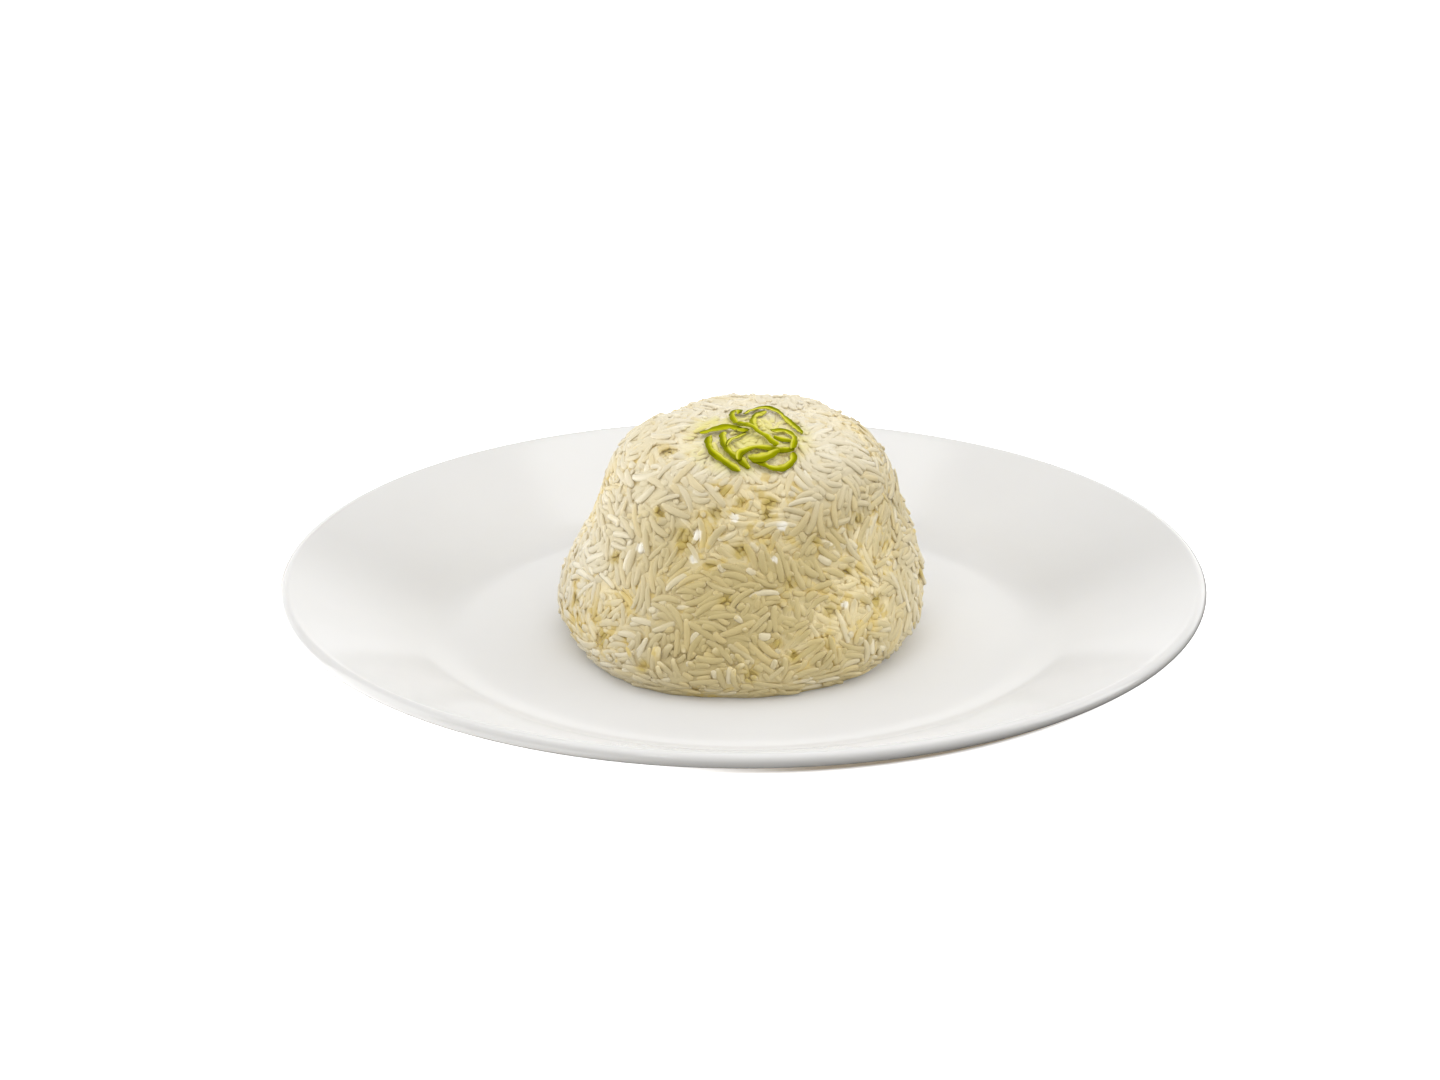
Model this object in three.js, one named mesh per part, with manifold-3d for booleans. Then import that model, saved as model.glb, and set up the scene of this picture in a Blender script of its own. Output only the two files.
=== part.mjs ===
// A white porcelain dinner plate with a moulded mound of long-grain rice in its well, and a tangle of green
// herb shreds on the mound's front shoulder. Millimetres, +Z up. The origin is on the table, at the middle of
// the plate's foot ring, and -Y is the side that a diner faces.
import * as THREE from "three";
import { mergeVertices } from "three/addons/utils/BufferGeometryUtils.js";
import Module from "manifold-3d";

const wasm = await Module();
wasm.setup();

// Driving dimensions of the plate: a turned porcelain dish with a flat floor, a wide sloping rim and a rolled lip.
const RIM_RADIUS = 135;
const LIP_RADIUS = 2;
const RIM_SLOPE = THREE.MathUtils.degToRad(23.8);
const FLOOR_RADIUS = 82;
const FLOOR_TOP = 6.5;
const BEND_RADIUS = 34;
const FOOT_OUTER = 82;
const FOOT_WIDTH = 3.4;
const FOOT_EDGE = 0.6;
const RECESS_TOP = 2.6;
const PLATE_SEGMENTS = 72;

// Driving dimensions of the mound: rice pressed in a rounded mould and turned out on the floor of the plate.
const MOUND_GAP = 0.3;
const MOUND_BASE_Z = FLOOR_TOP + MOUND_GAP;
const MOUND_HEIGHT = 65.7;
const MOUND_LEAN = 0.048;
const CORE_INSET = 1.5;
const CORE_SEGMENTS = 22;
const CORE_RINGS = 9;

// One cooked grain, and how many of them show on the core.
const GRAIN_LENGTH = 13;
const GRAIN_WIDTH = 2.7;
const GRAIN_HEIGHT = 2.1;
const GRAIN_SUNK = 1.3;
const GRAIN_SPACING = 2.5;
const GRAIN_COUNT = 260;
const GRAIN_TRIES = 400;
const GRAIN_SEED = 7;

// One herb shred: a thin flat strip, and the room it keeps from what it lies on.
const SHRED_THICKNESS = 0.5;
const SHRED_GAP = 0.35;
const SHRED_GROUND = 0.6;
const SHRED_MARGIN = 0.3;
const SHRED_BEND = 0.1;
const SHRED_STEP = 2;

const porcelain = new THREE.MeshStandardMaterial({ color: 0xf1f0ec, roughness: 0.1, metalness: 0 });
const rice = new THREE.MeshStandardMaterial({ color: 0xe0d3ab, roughness: 0.45, metalness: 0 });
const herb = new THREE.MeshStandardMaterial({ color: 0x9fb21f, roughness: 0.4, metalness: 0 });

const { sin, cos, tan, exp, hypot, PI, max, min, sqrt, atan2, round } = Math;

// A closed geometry as a solid for joining and cutting.
function solidOf(geometry) {
  const bare = geometry.index ? geometry.toNonIndexed() : geometry.clone();
  bare.deleteAttribute("normal");
  bare.deleteAttribute("uv");
  const merged = mergeVertices(bare, 1e-4);
  return new wasm.Manifold(
    new wasm.Mesh({
      numProp: 3,
      vertProperties: merged.attributes.position.array,
      triVerts: new Uint32Array(merged.index.array),
    }),
  );
}

// A joined solid as a geometry again.
function geometryOf(solid) {
  const mesh = solid.getMesh();
  return new THREE.BufferGeometry()
    .setAttribute("position", new THREE.BufferAttribute(mesh.vertProperties, 3))
    .setIndex(new THREE.BufferAttribute(mesh.triVerts, 1));
}

function indexedGeometry(points, faces) {
  const flat = points.flatMap((p) => [p.x, p.y, p.z]);
  return new THREE.BufferGeometry()
    .setAttribute("position", new THREE.Float32BufferAttribute(flat, 3))
    .setIndex(faces.flat());
}

// Numbers from 0 to 1 that come out the same on every run.
function seededRandom(seed) {
  let state = seed;
  return () => {
    state = (state * 1664525 + 1013904223) % 4294967296;
    return state / 4294967296;
  };
}

// The plate

// Height of the plate's upper face at radius r, between the floor and the lip.
function plateTop(r) {
  const run = r - FLOOR_RADIUS;
  if (run <= 0) return FLOOR_TOP;
  const bendRun = BEND_RADIUS * sin(RIM_SLOPE);
  if (run < bendRun) return FLOOR_TOP + BEND_RADIUS - sqrt(BEND_RADIUS ** 2 - run ** 2);
  return FLOOR_TOP + BEND_RADIUS * (1 - cos(RIM_SLOPE)) + (run - bendRun) * tan(RIM_SLOPE);
}

function plateProfile() {
  const wall = 2 * LIP_RADIUS;
  const lipR = RIM_RADIUS - LIP_RADIUS;
  const innerR = lipR - LIP_RADIUS * sin(RIM_SLOPE);
  const lipZ = plateTop(innerR) - LIP_RADIUS * cos(RIM_SLOPE);
  const footInner = FOOT_OUTER - FOOT_WIDTH;
  const underside = (r) => plateTop(r) - wall / cos(RIM_SLOPE);
  const points = [
    [0, RECESS_TOP],
    [footInner - 2, RECESS_TOP],
    [footInner - FOOT_EDGE, FOOT_EDGE],
    [footInner, 0],
    [FOOT_OUTER, 0],
    [FOOT_OUTER + FOOT_EDGE, FOOT_EDGE],
    [FOOT_OUTER + 2, underside(FOOT_OUTER + 2)],
    [FLOOR_RADIUS + 9, underside(FLOOR_RADIUS + 9)],
    [FLOOR_RADIUS + 15, underside(FLOOR_RADIUS + 15)],
  ];
  const lipSteps = 6;
  for (let i = 0; i <= lipSteps; i++) {
    const a = RIM_SLOPE - PI / 2 + (PI * i) / lipSteps;
    points.push([lipR + LIP_RADIUS * cos(a), lipZ + LIP_RADIUS * sin(a)]);
  }
  const bendSteps = 4;
  for (let i = bendSteps; i >= 0; i--) {
    const r = FLOOR_RADIUS + BEND_RADIUS * sin((RIM_SLOPE * i) / bendSteps);
    points.push([r, plateTop(r)]);
  }
  points.push([0, FLOOR_TOP]);
  return points.map(([r, z]) => new THREE.Vector2(r, z));
}

function makePlate() {
  const geometry = new THREE.LatheGeometry(plateProfile(), PLATE_SEGMENTS);
  geometry.rotateX(PI / 2);
  const mesh = new THREE.Mesh(geometry, porcelain);
  mesh.name = "plate";
  return mesh;
}

// The mound's outer form

// Radius and height above the floor, from the crown down to the foot, where the mould's wall was.
const moundOutline = new THREE.SplineCurve(
  [
    [0, MOUND_HEIGHT],
    [12, 65.6],
    [22, 65],
    [30, 61.9],
    [36.5, 57.3],
    [41.7, 48.8],
    [45.9, 36.5],
    [51, 25],
    [53.8, 14],
    [53.3, 6],
    [49, 0],
  ].map(([r, z]) => new THREE.Vector2(r, z)),
);
const OUTLINE_LENGTH = moundOutline.getLength();

// The mound isn't quite round: it is fuller to the front left, and the wall swells and dips a little.
const planScale = (phi) => 1.005 + 0.04 * cos(phi + 1.95) - 0.006 * cos(2 * phi);
const swell = (s, phi) => 0.5 * sin(5 * phi + 1.3 + s / 9) + 0.4 * sin(3 * phi - s / 14);

// How far the foot has slumped outwards: most at its front left, and a little at its front right.
const slump = (height, phi) =>
  (5 * exp(6.5 * (cos(phi + 2) - 1)) + 2.5 * exp(12 * (cos(phi + 1.33) - 1))) * max(0, 1 - height / 14);

// A point of the mound's outer form, raised by lift, with its outward normal. s is the way down from the crown
// along the outline and phi the angle round the axis.
function moundPoint(s, phi, lift) {
  const u = min(max(s / OUTLINE_LENGTH, 0), 1);
  const p = moundOutline.getPointAt(u);
  const t = moundOutline.getTangentAt(u);
  const out = new THREE.Vector3(-t.y * cos(phi), -t.y * sin(phi), t.x);
  const fade = min(1, s / 20);
  const r = p.x * (1 + (planScale(phi) - 1) * fade) + slump(p.y, phi);
  const place = new THREE.Vector3(r * cos(phi) + MOUND_LEAN * p.y, r * sin(phi), MOUND_BASE_Z + p.y);
  return { place: place.addScaledVector(out, lift + swell(s, phi) * fade), out };
}

// The same, for a point X to the right of the crown and Y behind it, both measured along the surface.
const crownPoint = (x, y, lift) => moundPoint(hypot(x, y), atan2(y, x), lift);

// The rice mound: a core with the grains that show fused on

function makeCore() {
  const points = [moundPoint(0, 0, -CORE_INSET).place];
  const faces = [];
  const ring = (i, j) => 1 + (i - 1) * CORE_SEGMENTS + (j % CORE_SEGMENTS);
  for (let i = 1; i <= CORE_RINGS; i++) {
    for (let j = 0; j < CORE_SEGMENTS; j++) {
      const s = (OUTLINE_LENGTH * i) / CORE_RINGS;
      const { place } = moundPoint(s, (2 * PI * j) / CORE_SEGMENTS, -CORE_INSET);
      if (i === CORE_RINGS) place.z = MOUND_BASE_Z;
      points.push(place);
    }
  }
  const bottom = points.length;
  points.push(new THREE.Vector3(0, 0, MOUND_BASE_Z));
  for (let j = 0; j < CORE_SEGMENTS; j++) {
    faces.push([0, ring(1, j), ring(1, j + 1)]);
    faces.push([bottom, ring(CORE_RINGS, j + 1), ring(CORE_RINGS, j)]);
    for (let i = 1; i < CORE_RINGS; i++) {
      faces.push([ring(i, j), ring(i + 1, j), ring(i + 1, j + 1)]);
      faces.push([ring(i, j), ring(i + 1, j + 1), ring(i, j + 1)]);
    }
  }
  return solidOf(indexedGeometry(points, faces));
}

// A grain along X: two three-sided rings between two tips, bowed sideways by bow.
function grainGeometry(length, bow) {
  const section = [
    [-0.6, -0.6],
    [0.6, -0.6],
    [0, 0.5],
  ];
  const tip = (end) => new THREE.Vector3((end * length) / 2, -bow, -0.3 * GRAIN_HEIGHT);
  const points = [tip(-1), tip(1)];
  for (const end of [-0.26, 0.26]) {
    for (const [y, z] of section) {
      points.push(new THREE.Vector3(end * length, y * GRAIN_WIDTH, z * GRAIN_HEIGHT));
    }
  }
  const faces = [];
  for (let k = 0; k < section.length; k++) {
    const next = (k + 1) % section.length;
    faces.push([0, 2 + next, 2 + k]);
    faces.push([1, 5 + k, 5 + next]);
    faces.push([2 + k, 2 + next, 5 + next]);
    faces.push([2 + k, 5 + next, 5 + k]);
  }
  return indexedGeometry(points, faces);
}

// Which way the grains lie at a place on the mound: they were pressed into drifts that share a direction.
const drift = (s, phi) => 1.4 * sin(2 * phi + s / 17) + 1.1 * cos(3 * phi - s / 11) + s / 30;

// The distance down the outline where a given share of the mound's skin lies above.
function skinTable(steps) {
  const share = [0];
  for (let i = 1; i <= steps; i++) {
    share.push(share[i - 1] + moundOutline.getPointAt((i - 0.5) / steps).x);
  }
  return (part) => {
    const wanted = part * share[steps];
    const i = max(share.findIndex((v) => v >= wanted), 1);
    const t = (wanted - share[i - 1]) / (share[i] - share[i - 1]);
    return (OUTLINE_LENGTH * (i - 1 + t)) / steps;
  };
}

// Places for the grains, the longest first. Each lies along the drift, beside those already placed.
function placeGrains() {
  const random = seededRandom(GRAIN_SEED);
  const down = skinTable(200);
  const lengths = Array.from({ length: GRAIN_COUNT }, () => GRAIN_LENGTH * (0.78 + 0.4 * random()));
  lengths.sort((a, b) => b - a);
  const placed = [];
  for (const length of lengths) {
    for (let tries = 0; tries < GRAIN_TRIES; tries++) {
      const s = down(random());
      const phi = 2 * PI * random();
      const { place, out } = moundPoint(s, phi, -GRAIN_SUNK);
      const turn = drift(s, phi) + 0.8 * (random() - 0.5);
      const along = new THREE.Vector3(-sin(phi), cos(phi), 0).applyAxisAngle(out, turn);
      const beads = [-0.44, -0.22, 0, 0.22, 0.44].map((t) => place.clone().addScaledVector(along, t * length));
      const clear = placed.every((other) =>
        other.beads.every((a) => beads.every((b) => a.distanceTo(b) > GRAIN_SPACING)),
      );
      if (clear) {
        placed.push({ length, place, along, out, beads, bow: 0.9 * (2 * random() - 1) });
        break;
      }
    }
  }
  return placed;
}

function makeMound() {
  let mound = makeCore();
  for (const { length, place, along, out, bow } of placeGrains()) {
    const geometry = grainGeometry(length, bow);
    const side = new THREE.Vector3().crossVectors(out, along);
    geometry.applyMatrix4(new THREE.Matrix4().makeBasis(along, side, out).setPosition(place));
    mound = mound.add(solidOf(geometry));
  }
  const below = new THREE.BoxGeometry(2 * RIM_RADIUS, 2 * RIM_RADIUS, MOUND_BASE_Z);
  below.translate(0, 0, MOUND_BASE_Z / 2);
  mound = mound.subtract(solidOf(below));
  const whole = mound.decompose().sort((a, b) => b.volume() - a.volume())[0];
  const mesh = new THREE.Mesh(geometryOf(whole), rice);
  mesh.name = "rice_mound";
  return mesh;
}

// The herb shreds

// Each shred's width, and the way it takes over the mound as points X to the right of the crown and Y behind
// it, along the surface. They are in the order in which they fell, so that each one lies on those before it.
const shreds = [
  {
    width: 2.2,
    way: [[-12.1, -17], [-12.4, -20.4], [-11.7, -24.7], [-9.9, -27.9], [-7, -31.2], [-3.7, -34.2]],
  },
  { width: 1.9, way: [[-2.7, -1.6], [-0.6, 2.1], [2.6, 4], [5.4, 3], [9, -4.5], [13.2, -17]] },
  { width: 2.2, way: [[-0.7, -29.5], [1.6, -30.7], [5, -32.7], [8.6, -32.3], [11, -29], [10.6, -26.3]] },
  { width: 2.2, way: [[-8.5, -15], [-8.2, -21.5], [-6.6, -26.8], [-3.6, -30], [-1, -33.3]] },
  { width: 2.2, way: [[-4, -30.9], [-3.4, -28], [0, -25.6], [4.5, -25.6], [8.4, -26.3], [11, -25.2]] },
  { width: 2.8, way: [[-1.5, -30.6], [2.6, -29.8], [6.8, -27.3]] },
  { width: 1.5, way: [[-2.1, -18.1], [-4.4, -20.4], [-6.6, -22.9], [-7.2, -25.2]] },
  { width: 2.0, way: [[0.5, -15.3], [-0.3, -8.2], [0.8, -2.6], [3.6, 0.4]] },
  { width: 1.8, way: [[5.3, -20.1], [7.4, -21.2], [10.6, -21.4]] },
  { width: 2.0, way: [[4.8, -18.3], [6.6, -15.9], [9, -15.9], [11, -20.5], [10.4, -26.3]] },
  { width: 3.2, way: [[-14.7, -16.2], [-10.3, -13.9], [-5.6, -12.6], [-3.6, -15.6], [-2.4, -19]] },
  {
    width: 2.0,
    way: [[-3.2, -3], [-3.8, 0], [-5.5, 0], [-6.2, -3.8], [-4.9, -8.4], [-1.6, -15.9], [3.3, -21], [6.2, -26.5]],
  },
];

// Lays the shreds down one by one: each rests on the grains and on the shreds that it crosses, and bends no
// more sharply over them than a shred can.
function layShreds() {
  const laid = [];
  for (const { width, way } of shreds) {
    const curve = new THREE.CatmullRomCurve3(way.map(([x, y]) => new THREE.Vector3(x, y, 0)));
    const steps = 2 * round(curve.getLength() / SHRED_STEP);
    const points = curve.getSpacedPoints(steps);
    const crossed = points.map((p) => {
      const under = laid.flatMap((other) =>
        other.points.filter((q) => hypot(p.x - q.x, p.y - q.y) < (width + other.width) / 2 + SHRED_MARGIN),
      );
      return max(SHRED_GROUND, ...under.map((q) => q.z + SHRED_THICKNESS + SHRED_GAP));
    });
    const lifts = crossed.slice();
    for (let pass = 0; pass < 80; pass++) {
      for (let i = 0; i <= steps; i++) {
        const around = (lifts[max(i - 1, 0)] + lifts[min(i + 1, steps)]) / 2;
        lifts[i] = max(crossed[i], around - SHRED_BEND);
      }
    }
    points.forEach((p, i) => (p.z = lifts[i]));
    laid.push({ width, points });
  }
  return laid;
}

// A flat strip of four-sided sections along its points, narrowing at both ends.
function makeShred({ width, points }, number) {
  const corners = [];
  const faces = [];
  for (let i = 0; i < points.length; i += 2) {
    const p = points[i];
    const before = points[max(i - 1, 0)];
    const after = points[min(i + 1, points.length - 1)];
    const side = new THREE.Vector2(before.y - after.y, after.x - before.x).normalize();
    const half = (width / 2) * min(1, 0.5 + 0.15 * min(i, points.length - 1 - i));
    for (const [across, up] of [[-1, -1], [1, -1], [1, 1], [-1, 1]]) {
      const x = p.x + side.x * half * across;
      const y = p.y + side.y * half * across;
      corners.push(crownPoint(x, y, p.z + (SHRED_THICKNESS / 2) * up).place);
    }
  }
  const last = corners.length - 4;
  faces.push([0, 2, 1], [0, 3, 2], [last, last + 1, last + 2], [last, last + 2, last + 3]);
  for (let b = 0; b < last; b += 4) {
    for (let k = 0; k < 4; k++) {
      const next = (k + 1) % 4;
      faces.push([b + k, b + next, b + 4 + next], [b + k, b + 4 + next, b + 4 + k]);
    }
  }
  const mesh = new THREE.Mesh(indexedGeometry(corners, faces), herb);
  mesh.name = `herb_shred_${String(number + 1).padStart(2, "0")}`;
  return mesh;
}

const dish = new THREE.Group();
dish.add(makePlate());
dish.add(makeMound());
layShreds().forEach((shred, number) => dish.add(makeShred(shred, number)));

export default dish;
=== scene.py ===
import math

import bpy
import numpy as np
from mathutils import Matrix, Vector


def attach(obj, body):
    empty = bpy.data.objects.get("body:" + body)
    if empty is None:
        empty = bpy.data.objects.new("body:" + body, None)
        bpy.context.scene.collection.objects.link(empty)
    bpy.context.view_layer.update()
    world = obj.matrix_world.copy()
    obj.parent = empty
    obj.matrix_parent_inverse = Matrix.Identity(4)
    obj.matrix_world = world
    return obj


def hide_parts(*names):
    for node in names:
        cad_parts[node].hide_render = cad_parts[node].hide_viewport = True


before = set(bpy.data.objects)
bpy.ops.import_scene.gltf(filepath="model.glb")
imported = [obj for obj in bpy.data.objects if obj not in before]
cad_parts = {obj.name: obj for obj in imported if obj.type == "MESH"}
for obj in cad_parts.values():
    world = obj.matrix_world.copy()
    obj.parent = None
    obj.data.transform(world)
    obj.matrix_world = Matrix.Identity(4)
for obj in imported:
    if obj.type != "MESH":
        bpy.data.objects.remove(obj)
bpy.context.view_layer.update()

# The plate is a turned and glazed porcelain dinner plate, 27 cm across. Its flat floor bends up into a wide
# sloping rim, which ends in a rolled lip. It stands on a foot ring whose edge is wiped free of glaze before
# the firing.
MM = 0.001
TAU = 2 * math.pi

RIM_RADIUS = 135.0
RIM_SLOPE = math.radians(23.8)
RIM_STEPS = 44
LIP_RADIUS = 2.0
LIP_STEPS = 18
LIP_EASE_ABOVE = 1.5
LIP_EASE_BELOW = 4.0
BEND_RADIUS = 34.0
FLOOR_RADIUS = 82.0
FLOOR_TOP = 6.5
FLOOR_EASE = 4.0
FLOOR_STEPS = 14
FOOT_OUTER = 82.0
FOOT_WIDTH = 3.4
FOOT_EDGE = 0.6
FOOT_ROOT = 2.0
FOOT_FLARE = [(0.5, 1.2), (1.2, 1.8)]
FOOT_STEPS = 5
FOOT_MIDDLE = FOOT_OUTER - FOOT_WIDTH / 2
RECESS_TOP = 2.6
RECESS_FILLET = 0.8
FILLET_END = math.pi / 8
FILLET_STEPS = 4
RECESS_STEPS = 12
UNDERSIDE_STEPS = 26
PLATE_SEGMENTS = 192

# Colours and the sizes of patterns, which are in waves a metre. Edges of a mask are where it is 0 and 1.
GLAZE_COLOURS = (0.73, 0.722, 0.705, 1), (0.745, 0.738, 0.72, 1)
GLAZE_CLOUDS = 22.0
GLAZE_CLOUD_EDGES = 0.3, 0.7
GLAZE_RIPPLES = 38.0
GLAZE_PINHOLES = 600.0
GLAZE_PINHOLE_SHARE = 0.08
GLAZE_ROUGHNESS = 0.09
GLAZE_DULLER = 0.03
CLAY_COLOURS = (0.62, 0.58, 0.5, 1), (0.72, 0.68, 0.6, 1)
CLAY_SPECKS = 900.0
CLAY_DULLER = 0.6
WIPED_RING = 0.0019, 0.0015
WIPED_HEIGHT = 0.0007, 0.0003


class Wire:
    """A socket of a node tree. Arithmetic on it adds the tree's Math nodes."""

    def __init__(self, nodes, socket):
        self.nodes = nodes
        self.socket = socket

    def math(self, operation, *others):
        inputs = dict(enumerate([self, *others]))
        return self.nodes.add("ShaderNodeMath", {"operation": operation}, inputs)

    def __add__(self, other):
        return self.math("ADD", other)

    __radd__ = __add__

    def __mul__(self, other):
        return self.math("MULTIPLY", other)

    __rmul__ = __mul__

    def __sub__(self, other):
        return self.math("SUBTRACT", other)

    def __rsub__(self, other):
        return self.math("MULTIPLY", -1.0).math("ADD", other)

    def __truediv__(self, other):
        return self.math("DIVIDE", other)

    def __pow__(self, other):
        return self.math("POWER", other)

    def ramp(self, low, high):
        """0 at low, 1 at high, smooth between."""
        settings = {"interpolation_type": "SMOOTHSTEP"}
        inputs = {"Value": self, "From Min": low, "From Max": high}
        return self.nodes.add("ShaderNodeMapRange", settings, inputs)


class Nodes:
    """A node tree that is filled from empty."""

    def __init__(self, tree):
        self.tree = tree
        tree.nodes.clear()

    def add(self, kind, settings=None, inputs=None, output=0):
        """A new node. Its settings are made first, then its sockets, by name or number. Gives one output."""
        node = self.tree.nodes.new(kind)
        for name, value in (settings or {}).items():
            setattr(node, name, value)
        for key, value in (inputs or {}).items():
            if isinstance(value, Wire):
                self.tree.links.new(value.socket, node.inputs[key])
            else:
                node.inputs[key].default_value = value
        return Wire(self, node.outputs[output]) if len(node.outputs) else node

    def place(self):
        """Where a point is on the object."""
        return self.add("ShaderNodeTexCoord", output="Object")

    def parts(self, vector, axes="XYZ"):
        """A vector's numbers along the axes."""
        return [self.add("ShaderNodeSeparateXYZ", {}, {0: vector}, output=axis) for axis in axes]

    def attribute(self, name):
        return self.add("ShaderNodeAttribute", {"attribute_name": name}, output="Fac")

    def noise(self, place, scale, detail=2.0, roughness=0.5):
        inputs = {"Vector": place, "Scale": scale, "Detail": detail, "Roughness": roughness}
        return self.add("ShaderNodeTexNoise", {}, inputs)

    def mix(self, factor, low, high):
        """A colour between low and high, each a colour or a wire. The node's colour sockets share their names
        with others, so they are told apart by number."""
        inputs = {0: factor, 6: low, 7: high}
        return self.add("ShaderNodeMix", {"data_type": "RGBA"}, inputs, output=2)

    def layered(self, ground, layers):
        """The ground colour under layers, each with its mask, the most that it covers, and its colour."""
        for mask, most, colour in layers:
            ground = self.mix(most * mask, ground, colour)
        return ground

    def bump(self, height, strength, distance):
        inputs = {"Strength": strength, "Distance": distance, "Height": height}
        return self.add("ShaderNodeBump", {}, inputs)

    def surface(self, inputs):
        return self.add("ShaderNodeBsdfPrincipled", {}, inputs)


def new_material(name, finish):
    """A material whose tree is made by finish(nodes), which returns the surface shader."""
    material = bpy.data.materials.new(name)
    material.use_nodes = True
    nodes = Nodes(material.node_tree)
    surface = finish(nodes)
    nodes.add("ShaderNodeOutputMaterial", {}, {"Surface": surface})
    return material


def new_mesh(name, points, faces):
    """A smooth mesh in metres from points in millimetres."""
    mesh = bpy.data.meshes.new(name)
    mesh.from_pydata((np.asarray(points) * MM).tolist(), [], faces)
    mesh.shade_smooth()
    return mesh


def new_piece(name, mesh, material):
    mesh.materials.clear()
    mesh.materials.append(material)
    piece = bpy.data.objects.new(name, mesh)
    bpy.context.scene.collection.objects.link(piece)
    return piece


def plate_top(r):
    """Height of the plate's upper face at radius r, between the floor and the lip."""
    run = max(r - FLOOR_RADIUS, 0.0)
    bend_run = BEND_RADIUS * math.sin(RIM_SLOPE)
    if run < bend_run:
        return FLOOR_TOP + BEND_RADIUS - math.sqrt(BEND_RADIUS**2 - run**2)
    rise = BEND_RADIUS * (1 - math.cos(RIM_SLOPE))
    return FLOOR_TOP + rise + (run - bend_run) * math.tan(RIM_SLOPE)


def plate_underside(r):
    """Height of the plate's lower face, which keeps the wall as thick as the lip."""
    return plate_top(r) - 2 * LIP_RADIUS / math.cos(RIM_SLOPE)


def arc(centre, radius, start, end, steps):
    """Points of a circle's arc, from one angle to another."""
    angles = np.linspace(start, end, steps + 1)
    return [(centre[0] + radius * math.cos(a), centre[1] + radius * math.sin(a)) for a in angles]


def plate_profile():
    """The plate's section, from the middle of its underside round the lip to the middle of its floor."""
    quarter = math.pi / 2
    lip_r = RIM_RADIUS - LIP_RADIUS
    inner_r = lip_r - LIP_RADIUS * math.sin(RIM_SLOPE)
    lip_z = plate_top(inner_r) - LIP_RADIUS * math.cos(RIM_SLOPE)
    foot_inner = FOOT_OUTER - FOOT_WIDTH
    recess_end = foot_inner - FOOT_ROOT
    under_radii = np.linspace(FOOT_OUTER + FOOT_ROOT, inner_r - LIP_EASE_BELOW, UNDERSIDE_STEPS)

    section = [(r, RECESS_TOP) for r in np.linspace(0, recess_end, RECESS_STEPS)]
    fillet = (recess_end, RECESS_TOP - RECESS_FILLET)
    section += arc(fillet, RECESS_FILLET, quarter, FILLET_END, FILLET_STEPS)
    section += arc((foot_inner + FOOT_EDGE, FOOT_EDGE), FOOT_EDGE, 2 * quarter, 3 * quarter, FOOT_STEPS)
    section += arc((FOOT_OUTER - FOOT_EDGE, FOOT_EDGE), FOOT_EDGE, -quarter, 0, FOOT_STEPS)
    section += [(FOOT_OUTER + run, height) for run, height in FOOT_FLARE]
    section += [(r, plate_underside(r)) for r in under_radii]
    section += arc((lip_r, lip_z), LIP_RADIUS, RIM_SLOPE - quarter, RIM_SLOPE + quarter, LIP_STEPS)
    section += [(r, plate_top(r)) for r in np.linspace(inner_r - LIP_EASE_ABOVE, FLOOR_RADIUS, RIM_STEPS)]
    section += [(r, FLOOR_TOP) for r in np.linspace(FLOOR_RADIUS - FLOOR_EASE, 0, FLOOR_STEPS)]
    return section


def turned_mesh(name, section, segments):
    """The section turned round Z. Its first and last points are on the axis."""
    rings = section[1:-1]
    points = [(0, 0, section[0][1]), (0, 0, section[-1][1])]
    for r, z in rings:
        for k in range(segments):
            points.append((r * math.cos(TAU * k / segments), r * math.sin(TAU * k / segments), z))
    faces = []
    last = 2 + (len(rings) - 1) * segments
    for k in range(segments):
        after = (k + 1) % segments
        faces.append((0, 2 + after, 2 + k))
        faces.append((1, last + k, last + after))
        for i in range(len(rings) - 1):
            low = 2 + i * segments
            high = low + segments
            faces.append((low + k, low + after, high + after, high + k))
    return new_mesh(name, points, faces)


def porcelain_finish(nodes):
    place = nodes.place()
    x, y, z = nodes.parts(place)
    radius = (x * x + y * y) ** 0.5
    ring = (radius - FOOT_MIDDLE * MM).math("ABSOLUTE").ramp(*WIPED_RING)
    wiped = ring * z.ramp(*WIPED_HEIGHT)
    cloud = nodes.noise(place, GLAZE_CLOUDS, detail=3.0)
    glaze = nodes.mix(cloud.ramp(*GLAZE_CLOUD_EDGES), *GLAZE_COLOURS)
    clay = nodes.mix(nodes.noise(place, CLAY_SPECKS), *CLAY_COLOURS)
    ripple = nodes.noise(place, GLAZE_RIPPLES) + GLAZE_PINHOLE_SHARE * nodes.noise(place, GLAZE_PINHOLES)
    return nodes.surface({
        "Base Color": nodes.mix(wiped, glaze, clay),
        "Roughness": GLAZE_ROUGHNESS + GLAZE_DULLER * cloud + CLAY_DULLER * wiped,
        "IOR": 1.5,
        "Subsurface Weight": 0.08,
        "Subsurface Radius": (0.8, 0.7, 0.5),
        "Subsurface Scale": 0.001,
        "Normal": nodes.bump(ripple, strength=0.12, distance=0.0004),
    })


porcelain = new_material("glazed_porcelain", porcelain_finish)
plate = new_piece("dinner_plate", turned_mesh("dinner_plate", plate_profile(), PLATE_SEGMENTS), porcelain)
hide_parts("plate")
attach(plate, "root")

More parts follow.
